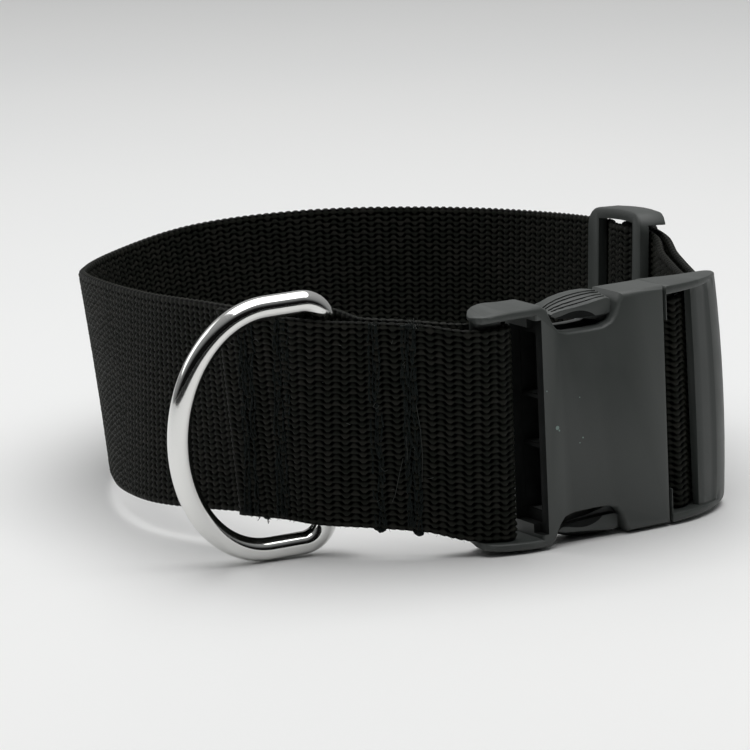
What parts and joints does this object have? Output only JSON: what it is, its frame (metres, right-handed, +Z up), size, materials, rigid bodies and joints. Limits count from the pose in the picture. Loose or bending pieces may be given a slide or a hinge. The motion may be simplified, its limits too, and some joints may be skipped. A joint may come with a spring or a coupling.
{
  "type": "pet collar",
  "caption": "Wide black webbing pet collar standing on its edge, side release buckle fastened, with a round wire D ring in a sewn tunnel and a three bar slider.",
  "frame": {"origin": "centre of the underside of the whole collar's box, on the surface that it stands on", "axes": "+Z up across the webbing, -Y towards the side with the buckle and the D ring, +X towards the buckle's male half"},
  "size_m": [0.1546, 0.1852, 0.064],
  "materials": {
    "webbing": "heavy woven nylon, matt",
    "acetal": "fine moulded texture",
    "chrome": "bright plated steel"
  },
  "bodies": {
    "collar": {"strap": "webbing", "buckle_female": "acetal", "buckle_male": "acetal", "slider": "acetal"},
    "ring": {"d_ring": "chrome"}
  },
  "joints": [
    {"name": "ring_swing", "type": "hinge", "parent": "collar", "child": "ring", "pos_m": [-0.01663, -0.07558, 0.0324], "axis": [0.0278, -0.16, 0.9867], "range_deg": [-30, 126]}
  ]
}
